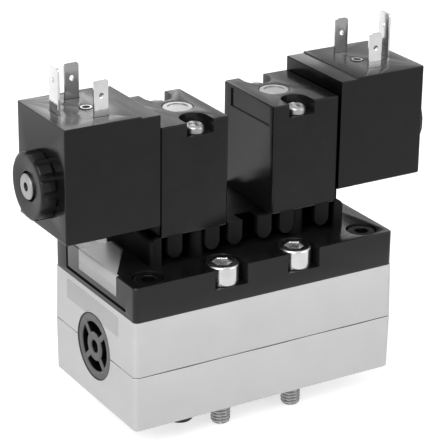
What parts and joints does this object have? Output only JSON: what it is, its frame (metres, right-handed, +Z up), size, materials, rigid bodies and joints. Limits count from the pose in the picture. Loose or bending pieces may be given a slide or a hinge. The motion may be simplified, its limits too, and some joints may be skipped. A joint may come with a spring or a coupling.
{
  "type": "directional control valve",
  "caption": "Base-mounted spool valve with a solenoid pilot at each end: split alloy body, black cover, pilots, coils with plug-in contacts and hand nuts.",
  "frame": {"origin": "centre of the base mounting face, below the middle port", "axes": "+Z up from the base face, +X along the spool towards the right pilot, -Y the front"},
  "size_m": [0.1316, 0.051, 0.1136],
  "materials": {
    "cast_alloy": "blasted die casting",
    "sleeve_alloy": "turned",
    "spool_alloy": "turned and hard coated",
    "seal_rubber": "moulded",
    "plug_plastic": "glass-filled, satin",
    "pin_plastic": "moulded",
    "screw_steel": "zinc plated",
    "screw_black": "black oxide",
    "cover_plastic": "moulded, semi-gloss",
    "label_foil": "printed foil, left bare",
    "manifold_plastic": "moulded, semi-gloss",
    "block_plastic": "moulded, semi-gloss",
    "override_steel": "turned",
    "spring_steel": "wire",
    "brass": "turned",
    "insert_nickel": "nickel plated brass, stored by its surface",
    "tube_steel": "turned",
    "armature_steel": "ground",
    "coil_plastic": "moulded, glossy",
    "winding_copper": null,
    "contact_tin": "tin plated, bright",
    "nut_plastic": "moulded"
  },
  "bodies": {
    "housing": {"lower_body": "cast_alloy", "upper_body": "cast_alloy", "spool_sleeve": "sleeve_alloy", "plug_ring_left": "seal_rubber", "plug_ring_right": "seal_rubber", "interface_seal": "seal_rubber", "cover_gasket": "seal_rubber", "nut_ring_left": "seal_rubber", "nut_ring_right": "seal_rubber", "end_plug_left": "plug_plastic", "end_plug_right": "plug_plastic", "locating_pin": "pin_plastic", "mounting_screws": "screw_steel", "pilot_screws_left": "screw_steel", "pilot_screws_right": "screw_steel", "cover_screws": "screw_black", "cover": "cover_plastic", "label": "label_foil", "pilot_manifold": "manifold_plastic", "pilot_block_left": "block_plastic", "pilot_block_right": "block_plastic", "override_spring_left": "spring_steel", "override_spring_right": "spring_steel", "armature_spring_left": "spring_steel", "armature_spring_right": "spring_steel", "pilot_seat_left": "brass", "pilot_seat_right": "brass", "terminal_insert_left": "insert_nickel", "terminal_insert_right": "insert_nickel", "armature_tube_left": "tube_steel", "armature_tube_right": "tube_steel", "coil_left": "coil_plastic", "coil_right": "coil_plastic", "winding_left": "winding_copper", "winding_right": "winding_copper", "power_contacts_left": "contact_tin", "power_contacts_right": "contact_tin", "earth_contact_left": "contact_tin", "earth_contact_right": "contact_tin", "coil_nut_left": "nut_plastic", "coil_nut_right": "nut_plastic"},
    "spool": {"spool": "spool_alloy", "spool_rings": "seal_rubber"},
    "armature_left": {"armature_left": "armature_steel", "armature_seal_left": "seal_rubber"},
    "armature_right": {"armature_right": "armature_steel", "armature_seal_right": "seal_rubber"},
    "override_left": {"manual_override_left": "override_steel"},
    "override_right": {"manual_override_right": "override_steel"}
  },
  "joints": [
    {"name": "spool_shift", "type": "slide", "parent": "housing", "child": "spool", "axis": [1, 0, 0], "range_m": [0, 0.005]},
    {"name": "armature_left_lift", "type": "slide", "parent": "housing", "child": "armature_left", "axis": [-1, 0, 0], "range_m": [0, 0.0012], "stiffness_N_per_m": 400, "springref_m": -0.003, "deforming": ["armature_spring_left"]},
    {"name": "override_left_push", "type": "slide", "parent": "housing", "child": "override_left", "axis": [0, 0, -1], "range_m": [0, 0.0012], "stiffness_N_per_m": 600, "springref_m": -0.001, "deforming": ["override_spring_left"]},
    {"name": "armature_right_lift", "type": "slide", "parent": "housing", "child": "armature_right", "axis": [1, 0, 0], "range_m": [0, 0.0012], "stiffness_N_per_m": 400, "springref_m": -0.003, "deforming": ["armature_spring_right"]},
    {"name": "override_right_push", "type": "slide", "parent": "housing", "child": "override_right", "axis": [0, 0, -1], "range_m": [0, 0.0012], "stiffness_N_per_m": 600, "springref_m": -0.001, "deforming": ["override_spring_right"]}
  ]
}
